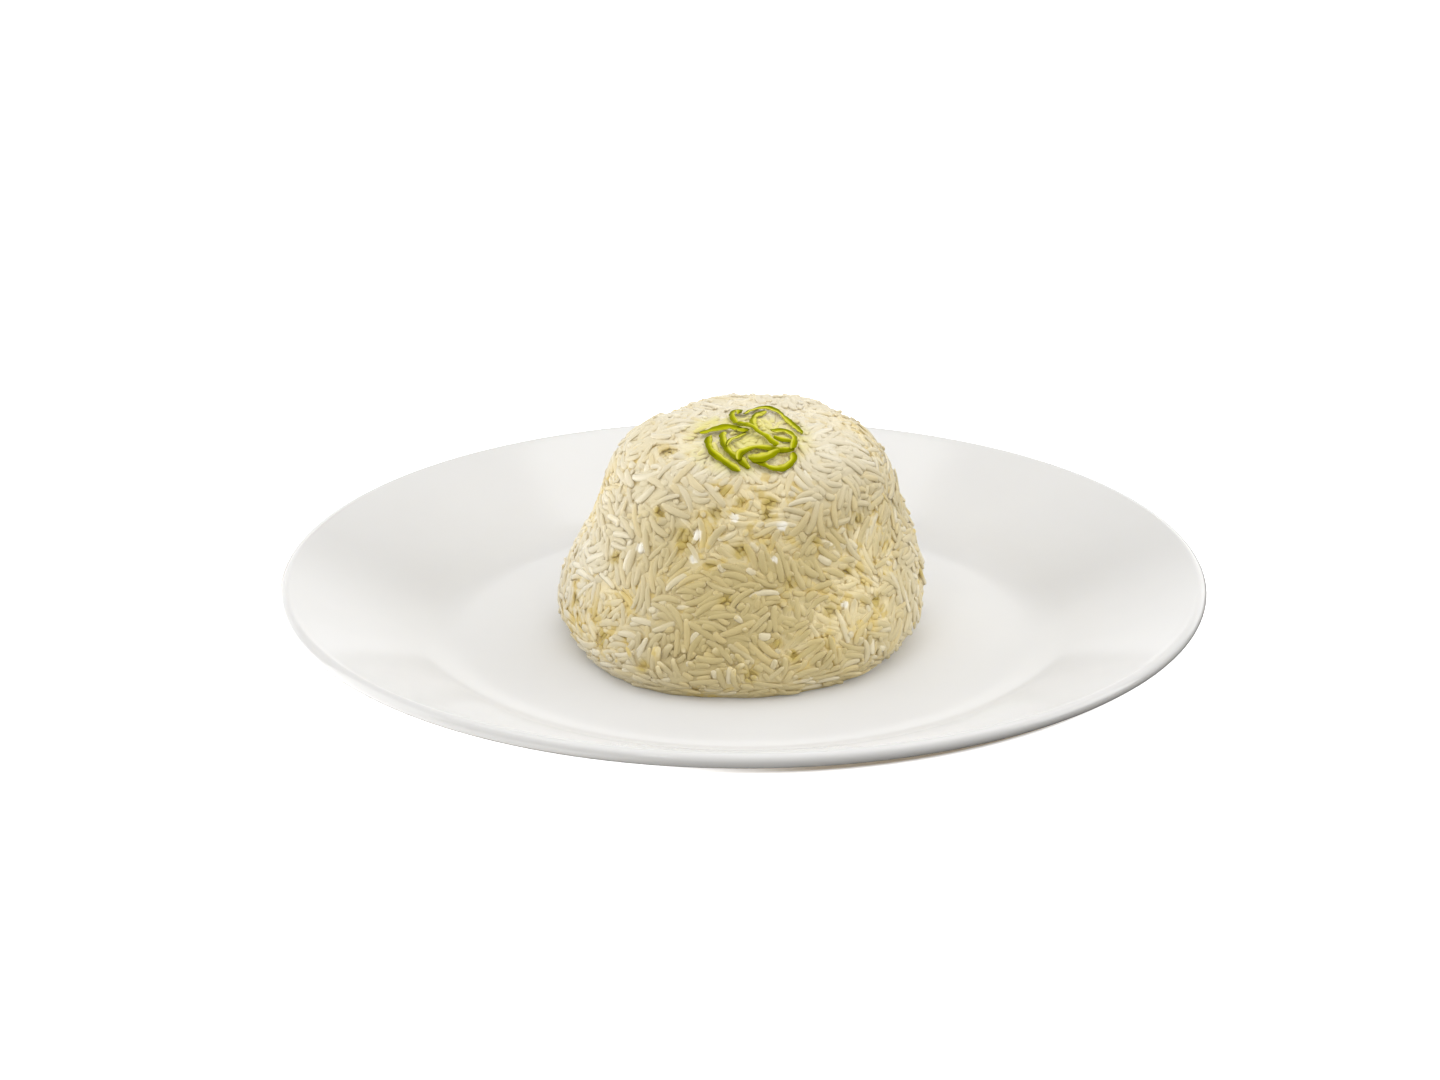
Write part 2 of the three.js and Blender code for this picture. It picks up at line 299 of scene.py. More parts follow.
# The mound is long-grain rice, cooked, pressed in a rounded mould and turned out on the plate. Its outer form
# is the mould's, slumped a little at the foot. Under the grains that show, a closed core stands for the rice
# that doesn't.
MOUND_LIFT = 0.3
MOUND_BASE_Z = FLOOR_TOP + MOUND_LIFT
MOUND_LEAN = 0.048
MOUND_OUTLINE = [
    (0, 65.7), (12, 65.6), (22, 65), (30, 61.9), (36.5, 57.3), (41.7, 48.8),
    (45.9, 36.5), (51, 25), (53.8, 14), (53.3, 6), (49, 0),
]
OUTLINE_STEPS = 900
OUTLINE_SKIP = 6
CROWN_RUN = 20
PLAN_SIZE = 1.005
PLAN_FULLER = 0.04
PLAN_FULLER_TURN = 1.95
PLAN_OVAL = 0.006
# Waves over the wall: size, crests round the mound, turn, and slant. They swell it, or break its skin.
SWELLS = [(0.5, 5, 1.3, 9), (0.4, 3, 0, -14)]
BREAKS = [(1, 7, 0, 5), (1, -5, 0, 4.2), (0.5, 13, 0, -3)]
# Where the foot has slumped outwards, at its front left and front right: size, sharpness and turn.
SLUMPS = [(5, 6.5, 2), (2.5, 12, 1.33)]
SLUMP_HEIGHT = 14
CORE_DEPTH = 0.92
CORE_SEGMENTS = 240
CORE_RINGS = 130
CORE_TONE = 0.5
POINTS_AT_ONCE = 20000
# The core's bumps are where rows round it, which waver, cross waves up and down it, and where two sets of
# slanted waves cross. Odd numbers of waves keep the bumps from repeating.
CORE_LUMP = 0.3
LUMP_ROWS = 1.9
ROW_WAVER = 3
ROW_WAVERS = 7
LUMP_CRESTS = 23
LUMP_SLANT = 3
CORE_RIPPLE = 0.25
RIPPLES = [(11, 0.7), (17, -0.5)]

# Small pits between the grains, and wet spots, which get a clear coat and a painted white glint. Each
# has its way down from the crown, its angle round the axis and its radius.
HOLLOW_DEPTH = 0.7
HOLLOW_LEVEL = 0.35
PIT_DEPTH = 1.5
PITS = [
    (40.6, -1.78, 1.2), (43, -1.66, 1.0), (43.5, -1.44, 1.5), (47.5, -1.47, 1.4), (52.8, -0.79, 1.5),
    (55, -1.99, 2.8), (57, -1.63, 2.0), (47, -1.81, 1.6), (66.2, -0.95, 1.2), (76, -1.11, 1.8),
    (65.8, -2.46, 1.7), (83.2, -1.4, 1.3), (92, -1.54, 1.7), (92, -2.08, 1.5), (87.6, -1.32, 1.5),
    (61.4, -1.8, 1.5), (49.4, -2.2, 1.5), (31, -2.47, 1.9), (67, -1.34, 1.6), (77, -0.77, 1.5),
    (89, -2.39, 1.8), (71, -1.69, 1.4), (55.6, -1.15, 1.4), (64.2, -0.53, 1.2), (82.8, -2.71, 1.5),
]
PITS_BEHIND = 30
PITS_BEHIND_RANGES = [(25, 95), (-0.3, 3.4), (1, 2)]
PIT_SEED = 3
SPOT_SPREAD = 1.2
WET_GLINT_SPOTS = [
    (60.4, -2.27, 1.6), (53.6, -1.91, 1.5), (48, -1.68, 1.3), (50.4, -1.37, 1.5), (75.4, -1.01, 1.3),
    (59.8, -1.42, 1.0), (60.6, -1.91, 1.3),
]

# The rice is cream at the crown. Painted shade makes it dark and golden in the middle of the wall, a little
# less at the foot. Each layer over that has the most that it covers, and its colour.
RICE_CREAM = (0.81, 0.745, 0.59, 1)
# Painted shade, dark and golden, over the middle of the wall.
WALL_SHADE = 1, (0.565, 0.46, 0.215, 1)
WARM_CLOUD = 0.35, (0.74, 0.62, 0.33, 1)
TAWNY_GRAIN = 0.45, (0.72, 0.58, 0.28, 1)
WHITE_GRAIN = 0.45, (0.92, 0.85, 0.66, 1)
GRAIN_TIP = 0.2, (0.84, 0.76, 0.56, 1)
# Painted light: the rice round the herb is tinted yellow-green, as if lit through the shreds.
HERB_GLOW = 0.85, (0.78, 0.71, 0.21, 1)
# Painted light: deep between the grains the rice is paler and warm, as bounced light makes it, and golden low
# on the wall.
GAP_LIGHT = 0.8
GAP_LIGHT_COLOURS = (0.86, 0.79, 0.62, 1), (0.84, 0.72, 0.43, 1)
# Painted shade: patches of the deep gaps between grains turn brown.
GAP_SHADE = 0.85, (0.70, 0.54, 0.19, 1)
# Painted shade: the pits are brown.
PIT_SHADE = 1, (0.56, 0.43, 0.12, 1)
# Painted highlight: the wet spots are whitened as a glint.
PAINTED_GLINT = 0.85, (0.98, 0.94, 0.83, 1)

# The masks of those layers: where each is 0 and 1, and what it is made from. Heights and distances are in
# metres, and depths in millimetres.
WALL_SHADE_MIDDLE_X = 0.008
WALL_SHADE_SIDES = 0.070, 0.018
WALL_SHADE_HEIGHTS = 0.083, 0.042
FOOT_HEIGHTS = 0.022, 0.010
FOOT_PALER = 0.15
WARM_EDGES = 0.45, 0.75
TAWNY_TONES = 0.3, 0.02
WHITE_TONES = 0.75, 0.98
TIP_EDGES = 0.55, 1.0
HERB_MIDDLE = (0.001, -0.018, 0.073)
HERB_GLOW_REACH = 0.021, 0.013
GAP_LIGHT_DEPTHS = 0.6, 1.4
GAP_LIGHT_HEIGHTS = 0.076, 0.060
GAP_SHADE_DEPTHS = 0.5, 1.2
GAP_SHADE_EDGES = 0.5, 0.62
GAP_SHADE_HEIGHTS = 0.075, 0.062
PIT_EDGES = 0.0, 0.8
PIT_PATCH_EDGES = 0.4, 0.6
PIT_LEAST = 0.7
PIT_PATCH = 0.25
WET_GLINT_EDGES = 0.35, 0.75

# The rice is rather dull, with glossier patches. Some grains have a shine of starch over that.
DULL_ROUGHNESS = 0.48
GLOSSIER = 0.2
GLOSS_EDGES = 0.5, 0.7
STARCHY_TONES = 0.65, 0.9
STARCHY_GLOSS = 0.6

# Sizes of the patterns, in waves a metre.
RICE_CLOUDS = 55.0
RICE_GLOSS = 120.0
RICE_SPOTS = 230.0
RICE_SKIN = 700.0


def through_points(points, steps):
    """An even spline through points, as steps + 1 points and the length run up to each of them."""
    points = np.array(points, float)
    last = len(points) - 1
    at = np.linspace(0, last, steps + 1)
    i = np.minimum(at.astype(int), last - 1)
    t = (at - i)[:, None]
    before = points[np.maximum(i - 1, 0)]
    start = points[i]
    end = points[i + 1]
    after = points[np.minimum(i + 2, last)]
    way_out = (end - before) / 2
    way_in = (after - start) / 2
    cubed = 2 * (start - end) + way_out + way_in
    squared = 3 * (end - start) - 2 * way_out - way_in
    curve = cubed * t**3 + squared * t**2 + way_out * t + start
    lengths = np.concatenate([[0], np.cumsum(np.linalg.norm(np.diff(curve, axis=0), axis=1))])
    return curve, lengths


outline, outline_run = through_points(MOUND_OUTLINE, OUTLINE_STEPS)
outline_way = np.gradient(outline, outline_run, axis=0)
OUTLINE_LENGTH = outline_run[-1]


def plan_scale(phi):
    """The mound isn't quite round: it is fuller to the front left."""
    return PLAN_SIZE + PLAN_FULLER * np.cos(phi + PLAN_FULLER_TURN) - PLAN_OVAL * np.cos(2 * phi)


def slanted_wave(s, phi, size, crests, turn, slant):
    """A wave round the mound, which turns by a radian on a way down as long as the slant."""
    return size * np.sin(crests * phi + turn + s / slant)


def swell(s, phi):
    """How far the wall swells or dips."""
    return sum(slanted_wave(s, phi, *wave) for wave in SWELLS)


def slump(height, phi):
    """How far the foot has slumped outwards."""
    outwards = sum(size * np.exp(sharpness * (np.cos(phi + turn) - 1)) for size, sharpness, turn in SLUMPS)
    return outwards * np.maximum(0, 1 - height / SLUMP_HEIGHT)


def mound_point(s, phi, lift):
    """Points of the mound's outer form, raised by lift, and their outward normals. s is the way down from the
    crown along the outline and phi the angle round the axis."""
    s = np.clip(s, 0, OUTLINE_LENGTH)
    r, height = (np.interp(s, outline_run, outline[:, k]) for k in (0, 1))
    way_r, way_z = (np.interp(s, outline_run, outline_way[:, k]) for k in (0, 1))
    size = np.hypot(way_r, way_z)
    out = np.stack([-way_z / size * np.cos(phi), -way_z / size * np.sin(phi), way_r / size], -1)
    fade = np.minimum(1, s / CROWN_RUN)
    r = r * (1 + (plan_scale(phi) - 1) * fade) + slump(height, phi)
    place = np.stack([r * np.cos(phi) + MOUND_LEAN * height, r * np.sin(phi), MOUND_BASE_Z + height], -1)
    return place + out * (lift + swell(s, phi) * fade)[..., None], out


random = np.random.default_rng(PIT_SEED)
pits = PITS + [tuple(random.uniform(*limits) for limits in PITS_BEHIND_RANGES) for _ in range(PITS_BEHIND)]


def near(spots, s, phi):
    """1 in the middle of a spot, and 0 a little outside all of them."""
    r = np.interp(s, outline_run, outline[:, 0])
    most = np.zeros(np.shape(s))
    for spot_s, spot_phi, radius in spots:
        across = r * ((phi - spot_phi + math.pi) % TAU - math.pi)
        most = np.maximum(most, np.exp(-((s - spot_s) ** 2 + across**2) / (SPOT_SPREAD * radius) ** 2))
    return most


def dent(s, phi):
    """Hollows in the mound's skin, in millimetres: shallow ones all over, and the pits."""
    first, second, third = (slanted_wave(s, phi, *wave) for wave in BREAKS)
    hollow = np.clip(first * second + third - HOLLOW_LEVEL, 0, 1)
    return HOLLOW_DEPTH * hollow + PIT_DEPTH * near(pits, s, phi)


def core_mesh():
    """The closed core, with bumps as large as grains."""
    s, phi = np.meshgrid(
        np.linspace(0, OUTLINE_LENGTH, CORE_RINGS + 1)[1:],
        np.linspace(0, TAU, CORE_SEGMENTS, endpoint=False),
        indexing="ij",
    )
    rows = np.sin(LUMP_ROWS * s + ROW_WAVER * np.sin(ROW_WAVERS * phi))
    lumps = CORE_LUMP * rows * np.sin(LUMP_CRESTS * phi + s / LUMP_SLANT)
    ripple, cross_ripple = (np.sin(crests * phi + rate * s) for crests, rate in RIPPLES)
    bumps = lumps + CORE_RIPPLE * ripple * cross_ripple
    rings, _ = mound_point(s, phi, bumps - CORE_DEPTH - dent(s, phi))
    rings[..., 2] = np.maximum(rings[..., 2], MOUND_BASE_Z)
    rings[-1, :, 2] = MOUND_BASE_Z
    crown, _ = mound_point(np.zeros(1), np.zeros(1), np.full(1, -CORE_DEPTH))
    points = np.concatenate([crown, rings.reshape(-1, 3), [[0, 0, MOUND_BASE_Z]]])
    bottom = len(points) - 1
    last = 1 + (CORE_RINGS - 1) * CORE_SEGMENTS
    faces = []
    for j in range(CORE_SEGMENTS):
        after = (j + 1) % CORE_SEGMENTS
        faces.append((0, 1 + j, 1 + after))
        faces.append((bottom, last + after, last + j))
        for i in range(CORE_RINGS - 1):
            low = 1 + i * CORE_SEGMENTS
            high = low + CORE_SEGMENTS
            faces.append((low + j, high + j, high + after, low + after))
    return new_mesh("rice_core", points, faces)


def rice_finish(nodes):
    place = nodes.place()
    x, height = nodes.parts(place, "XZ")
    tone, depth, pit, along = (nodes.attribute(name) for name in ("tone", "depth", "pit", "along"))
    # The wet spots get a clear coat and a painted white glint.
    wet_glint = nodes.attribute("wet_glint").ramp(*WET_GLINT_EDGES)
    cloud = nodes.noise(place, RICE_CLOUDS, detail=3.0)
    spots = nodes.noise(place, RICE_SPOTS)
    skin = nodes.noise(place, RICE_SKIN, detail=3.0, roughness=0.6)
    # Painted shade: dark and golden in the middle of the wall, a little less at the foot.
    middle = (x - WALL_SHADE_MIDDLE_X).math("ABSOLUTE").ramp(*WALL_SHADE_SIDES)
    wall_shade = middle * height.ramp(*WALL_SHADE_HEIGHTS) * (1 - FOOT_PALER * height.ramp(*FOOT_HEIGHTS))
    # Painted yellow-green light on the rice round the herb.
    from_herb = {0: place, 1: HERB_MIDDLE}
    herb_gap = nodes.add("ShaderNodeVectorMath", {"operation": "DISTANCE"}, from_herb, "Value")
    # Painted warm light in the gaps deep between the grains.
    gap_light_colour = nodes.mix(height.ramp(*GAP_LIGHT_HEIGHTS), *GAP_LIGHT_COLOURS)
    gap_shade = depth.ramp(*GAP_SHADE_DEPTHS) * spots.ramp(*GAP_SHADE_EDGES) * height.ramp(*GAP_SHADE_HEIGHTS)
    # Painted shade: brown in the deep gaps and in the pits.
    pit_shade = pit.ramp(*PIT_EDGES) * (PIT_LEAST + PIT_PATCH * spots.ramp(*PIT_PATCH_EDGES))
    layers = [
        (wall_shade, *WALL_SHADE),
        (cloud.ramp(*WARM_EDGES), *WARM_CLOUD),
        (tone.ramp(*TAWNY_TONES), *TAWNY_GRAIN),
        (tone.ramp(*WHITE_TONES), *WHITE_GRAIN),
        ((along * along).ramp(*TIP_EDGES), *GRAIN_TIP),
        (herb_gap.ramp(*HERB_GLOW_REACH), *HERB_GLOW),
        (depth.ramp(*GAP_LIGHT_DEPTHS), GAP_LIGHT, gap_light_colour),
        (gap_shade, *GAP_SHADE),
        (pit_shade, *PIT_SHADE),
        (wet_glint, *PAINTED_GLINT),
    ]
    return nodes.surface({
        "Base Color": nodes.layered(RICE_CREAM, layers),
        "Roughness": DULL_ROUGHNESS - GLOSSIER * nodes.noise(place, RICE_GLOSS).ramp(*GLOSS_EDGES),
        "Coat Weight": (STARCHY_GLOSS * tone.ramp(*STARCHY_TONES)).math("MAXIMUM", wet_glint),
        "Coat Roughness": 0.15,
        "IOR": 1.4,
        "Specular IOR Level": 0.35,
        "Normal": nodes.bump(skin, strength=0.25, distance=0.0003),
    })


def add_values(mesh, name, values):
    """An attribute with one number for each point of the mesh."""
    mesh.attributes.new(name, "FLOAT", "POINT").data.foreach_set("value", values)


def add_places_on_form(mesh):
    """Three attributes: how far each point is inside the mound's outer form, in millimetres, whether it is in
    a pit, and whether it is in a wet spot, which gets a clear coat and a painted glint."""
    points = np.empty(3 * len(mesh.vertices))
    mesh.vertices.foreach_get("co", points)
    points = points.reshape(-1, 3) / MM
    height = points[:, 2] - MOUND_BASE_Z
    x = points[:, 0] - MOUND_LEAN * height
    phi = np.arctan2(points[:, 1], x)
    r = (np.hypot(x, points[:, 1]) - slump(height, phi)) / plan_scale(phi)
    coarse = outline[::OUTLINE_SKIP]
    depth = np.empty(len(points))
    s = np.empty(len(points))
    for start in range(0, len(points), POINTS_AT_ONCE):
        part = slice(start, start + POINTS_AT_ONCE)
        gap = np.hypot(r[part, None] - coarse[None, :, 0], height[part, None] - coarse[None, :, 1])
        depth[part] = gap.min(1)
        s[part] = outline_run[::OUTLINE_SKIP][gap.argmin(1)]
    add_values(mesh, "depth", depth)
    add_values(mesh, "pit", near(pits, s, phi))
    add_values(mesh, "wet_glint", near(WET_GLINT_SPOTS, s, phi))


rice = new_material("cooked_rice", rice_finish)
core_shape = core_mesh()
add_values(core_shape, "tone", np.full(len(core_shape.vertices), CORE_TONE))
add_places_on_form(core_shape)
core = new_piece("rice_core", core_shape, rice)
core.visible_glossy = False
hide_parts("rice_mound")
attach(core, "root")

# The grains are slender, a little bowed and blunt at the germ end, and up to 12 mm of one shows. The mould's
# wall pressed the outer ones flat against it, side by side in drifts. Broken grains and deeper ones fill what
# is between.
GRAIN_SEED = 20
# The kinds are whole, broken, short and deeper grains. Lift is how far a grain's middle is from the mould's
# wall, from the first try to the last. Touch is how near two grains may come, as a share of their radii.
GRAIN_KINDS = [
    {"lift": (-0.75, -1.3), "tries": 60000, "length": (7.5, 12.0), "tilt": 0.06, "stray": 1.0, "touch": 0.58},
    {"lift": (-0.75, -1.3), "tries": 90000, "length": (3.5, 7.0), "tilt": 0.14, "stray": 1.4, "touch": 0.5},
    {"lift": (-0.75, -1.2), "tries": 90000, "length": (2.5, 4.5), "tilt": 0.25, "stray": 1.6, "touch": 0.46},
    {"lift": (-1.0, -1.4), "tries": 90000, "length": (4.0, 8.0), "tilt": 0.15, "stray": 1.5, "touch": 0.42},
]
GRAIN_WIDTH = (1.7, 2.5)
GRAIN_FLATNESS = 0.52
GRAIN_BOW = 1.7
GRAIN_BOW_LENGTH = 13
GRAIN_BLUNTNESS = 0.5
GRAIN_TAPER = 0.10
DRIFT_WIDE = 1.4
DRIFT_WIDE_SLANT = 17
DRIFT_NARROW = 1.1
DRIFT_NARROW_SLANT = 11
DRIFT_FAN = 30
MOST_PRESSED = 2
AXIS_CLEAR = 8
CROWN_LOWER = 0.25
CROWN_END = 45
CROWN_FADE = 15
FOOT_ROWS = 6.0
FOOT_STRAY = 0.2
FOOT_SINK = 0.4
PIT_CLEAR = 0.45
PIT_TESTS = (-0.7, 0, 0.7)
SHORT_LENGTH = 4.5
BEADS = np.array([-0.43, -0.26, -0.09, 0.09, 0.26, 0.43])
BEAD_TAPER = 0.7
CELL = 2.3
CELLS_AROUND = [(i, j, k) for i in (-1, 0, 1) for j in (-1, 0, 1) for k in (-1, 0, 1)]
TINY = 1e-6


def drift(s, phi):
    """Which way the grains lie: they were pressed into drifts that share a direction."""
    wide = DRIFT_WIDE * np.sin(2 * phi + s / DRIFT_WIDE_SLANT)
    narrow = DRIFT_NARROW * np.cos(3 * phi - s / DRIFT_NARROW_SLANT)
    return wide + narrow + s / DRIFT_FAN


def turned_about(vector, axis, angle):
    """Vectors turned about unit axes."""
    cos, sin = np.cos(angle)[:, None], np.sin(angle)[:, None]
    along_axis = axis * (axis * vector).sum(1)[:, None]
    return vector * cos + np.cross(axis, vector) * sin + along_axis * (1 - cos)


def grain_tries(random, kind):
    """Many places for a grain, outermost first, as a dict of arrays."""
    count = kind["tries"]
    skin = np.cumsum(outline[:, 0])
    s = np.interp(random.random(count) * skin[-1], skin, outline_run)
    phi = random.random(count) * TAU
    crown = np.clip((CROWN_END - s) / CROWN_FADE, 0, 1)
    lift = np.linspace(*kind["lift"], count) - dent(s, phi) - CROWN_LOWER * crown
    place, out = mound_point(s, phi, lift)
    level = np.stack([-np.sin(phi), np.cos(phi), np.zeros(count)], -1)
    turn = drift(s, phi) + random.normal(0, kind["stray"], count)
    turn = np.where(s > OUTLINE_LENGTH - FOOT_ROWS, random.normal(0, FOOT_STRAY, count), turn)
    along = turned_about(level, out, turn)
    side = np.cross(out, along)
    along = turned_about(along, side, random.normal(0, kind["tilt"], count))
    up = np.cross(along, side)
    length = random.uniform(*kind["length"], count)
    width = random.uniform(*GRAIN_WIDTH, count)
    bow = random.uniform(-GRAIN_BOW, GRAIN_BOW, count) * length / GRAIN_BOW_LENGTH
    down = -np.sin(turn) * length / 2
    round_by = np.cos(turn) * length / 2 / np.maximum(np.hypot(place[:, 0], place[:, 1]), AXIS_CLEAR)
    ends = [mound_point(s + way * down, phi + way * round_by, lift)[0] for way in (-1, 1)]
    press = ((place - (ends[0] + ends[1]) / 2) * out).sum(1).clip(0, MOST_PRESSED)
    in_pit = np.max([near(pits, s + way * down, phi + way * round_by) for way in PIT_TESTS], 0)
    fits = (place[:, 2] > MOUND_BASE_Z) & ((in_pit <= PIT_CLEAR) | (length < SHORT_LENGTH))
    tries = {
        "place": place,
        "along": along,
        "side": side,
        "up": up,
        "length": length,
        "width": width,
        "bend": side * bow[:, None] + up * press[:, None],
    }
    return {name: values[fits] for name, values in tries.items()}


def beads_of(tries):
    """Points along each grain, bent as the grain is."""
    t = BEADS[None, :, None]
    run = tries["along"][:, None] * tries["length"][:, None, None] * t
    return tries["place"][:, None] + run - tries["bend"][:, None] * (2 * t) ** 2


def touches(bead, cells, touch):
    """Whether a bead comes too near to one that is kept already."""
    x, y, z, radius = bead
    i, j, k = int(x // CELL), int(y // CELL), int(z // CELL)
    for di, dj, dk in CELLS_AROUND:
        for ox, oy, oz, other in cells.get((i + di, j + dj, k + dk), ()):
            reach = touch * (radius + other)
            if (x - ox) ** 2 + (y - oy) ** 2 + (z - oz) ** 2 < reach * reach:
                return True
    return False


def pack_grains():
    """The grains that fit, kind by kind from the wall inwards. Each keeps clear of all before it."""
    random = np.random.default_rng(GRAIN_SEED)
    cells = {}
    kept = []
    for kind in GRAIN_KINDS:
        tries = grain_tries(random, kind)
        beads = beads_of(tries)
        radii = (tries["width"][:, None] / 2) * (1 - BEAD_TAPER * BEADS**2)
        above_floor = beads[..., 2].min(1) - tries["width"] / 2 > MOUND_BASE_Z - FOOT_SINK
        chosen = []
        for n in np.flatnonzero(above_floor):
            mine = [(*bead, radius) for bead, radius in zip(beads[n].tolist(), radii[n].tolist())]
            if any(touches(bead, cells, kind["touch"]) for bead in mine):
                continue
            chosen.append(n)
            for bead in mine:
                key = tuple(int(value // CELL) for value in bead[:3])
                cells.setdefault(key, []).append(bead)
        kept.append({name: values[chosen] for name, values in tries.items()})
    return kept


def joined(groups):
    return {name: np.concatenate([group[name] for group in groups]) for name in groups[0]}


def grain_points(grains, seed):
    """A mesh of bare points, one for each grain, that carries each grain's turn, size, bend and tone."""
    random = np.random.default_rng(seed)
    count = len(grains["place"])
    mesh = bpy.data.meshes.new("grain_points")
    mesh.from_pydata((grains["place"] * MM).tolist(), [], [])
    x, y, z = grains["along"], grains["side"], grains["up"]
    turn = np.stack(
        [np.arctan2(y[:, 2], z[:, 2]), np.arcsin(np.clip(-x[:, 2], -1, 1)), np.arctan2(x[:, 1], x[:, 0])], -1
    )
    size = np.stack(
        [grains["length"] / 2, grains["width"] / 2, grains["width"] * GRAIN_FLATNESS / 2], -1
    )
    for name, values in (("turn", turn), ("size", size * MM), ("bend", grains["bend"] * MM)):
        mesh.attributes.new(name, "FLOAT_VECTOR", "POINT").data.foreach_set("vector", values.ravel())
    add_values(mesh, "tone", random.random(count))
    return mesh


def grain_tree():
    """Sets one blunt, tapered grain on every point, then bends each by its own amount."""
    tree = bpy.data.node_groups.new("rice_grains", "GeometryNodeTree")
    nodes = Nodes(tree)
    sockets = {
        "Points": "NodeSocketGeometry",
        "Sides": "NodeSocketInt",
        "Rings": "NodeSocketInt",
        "Bluntness": "NodeSocketFloat",
        "Taper": "NodeSocketFloat",
        "Material": "NodeSocketMaterial",
    }
    for name, kind in sockets.items():
        tree.interface.new_socket(name, in_out="INPUT", socket_type=kind)
    tree.interface.new_socket("Grains", in_out="OUTPUT", socket_type="NodeSocketGeometry")
    inputs = {name: nodes.add("NodeGroupInput", output=name) for name in sockets}
    blunt, taper = inputs["Bluntness"], inputs["Taper"]

    def named(name, data_type):
        return nodes.add("GeometryNodeInputNamedAttribute", {"data_type": data_type}, {"Name": name})

    ball = nodes.add(
        "GeometryNodeMeshUVSphere", {}, {"Segments": inputs["Sides"], "Rings": inputs["Rings"], "Radius": 1.0}
    )
    x, y, z = nodes.parts(nodes.add("GeometryNodeInputPosition"))
    round_part = (x * x + y * y).math("MAXIMUM", TINY) ** (blunt / 2 - 0.5)
    across = round_part * (1 - taper * z)
    shaped = nodes.add("ShaderNodeCombineXYZ", {}, {"X": z, "Y": x * across, "Z": y * across})
    marked = nodes.add(
        "GeometryNodeStoreNamedAttribute",
        {"data_type": "FLOAT", "domain": "POINT"},
        {"Geometry": ball, "Name": "along", "Value": z},
    )
    grain = nodes.add("GeometryNodeSetPosition", {}, {"Geometry": marked, "Position": shaped})
    turn = nodes.add("FunctionNodeEulerToRotation", {}, {0: named("turn", "FLOAT_VECTOR")})
    size = named("size", "FLOAT_VECTOR")
    placed = nodes.add(
        "GeometryNodeInstanceOnPoints",
        {},
        {"Points": inputs["Points"], "Instance": grain, "Rotation": turn, "Scale": size},
    )
    real = nodes.add("GeometryNodeRealizeInstances", {}, {0: placed})
    along = named("along", "FLOAT")
    pull = nodes.add(
        "ShaderNodeVectorMath",
        {"operation": "SCALE"},
        {0: named("bend", "FLOAT_VECTOR"), "Scale": -1.0 * along * along},
    )
    bent = nodes.add("GeometryNodeSetPosition", {}, {"Geometry": real, "Offset": pull})
    smooth = nodes.add("GeometryNodeSetShadeSmooth", {}, {"Geometry": bent})
    material = inputs["Material"]
    finished = nodes.add("GeometryNodeSetMaterial", {}, {"Geometry": smooth, "Material": material})
    nodes.add("NodeGroupOutput", {}, {"Grains": finished})
    return tree


def grown_mesh(points, tree, values):
    """What the tree makes of the points, as a plain mesh."""
    carrier = bpy.data.objects.new("carrier", points)
    bpy.context.scene.collection.objects.link(carrier)
    modifier = carrier.modifiers.new("grow", "NODES")
    modifier.node_group = tree
    for item in tree.interface.items_tree:
        if item.name in values:
            modifier[item.identifier] = values[item.name]
    evaluated = carrier.evaluated_get(bpy.context.evaluated_depsgraph_get())
    mesh = bpy.data.meshes.new_from_object(evaluated)
    carrier.modifiers.remove(modifier)
    bpy.data.objects.remove(carrier)
    return mesh


def add_grains(name, grains, seed, sides, rings):
    """One piece that holds all the given grains."""
    values = {
        "Sides": sides,
        "Rings": rings,
        "Bluntness": GRAIN_BLUNTNESS,
        "Taper": GRAIN_TAPER,
        "Material": rice,
    }
    mesh = grown_mesh(grain_points(grains, seed), grain_shape, values)
    add_places_on_form(mesh)
    piece = new_piece(name, mesh, rice)
    piece.visible_glossy = False
    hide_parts("rice_mound")
    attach(piece, "root")


grain_shape = grain_tree()
whole, broken, short, inner = pack_grains()
add_grains("rice_grains_whole", whole, seed=GRAIN_SEED + 1, sides=8, rings=7)
add_grains("rice_grains_broken", joined([broken, short]), seed=GRAIN_SEED + 2, sides=8, rings=6)
add_grains("rice_grains_inner", inner, seed=GRAIN_SEED + 3, sides=6, rings=6)

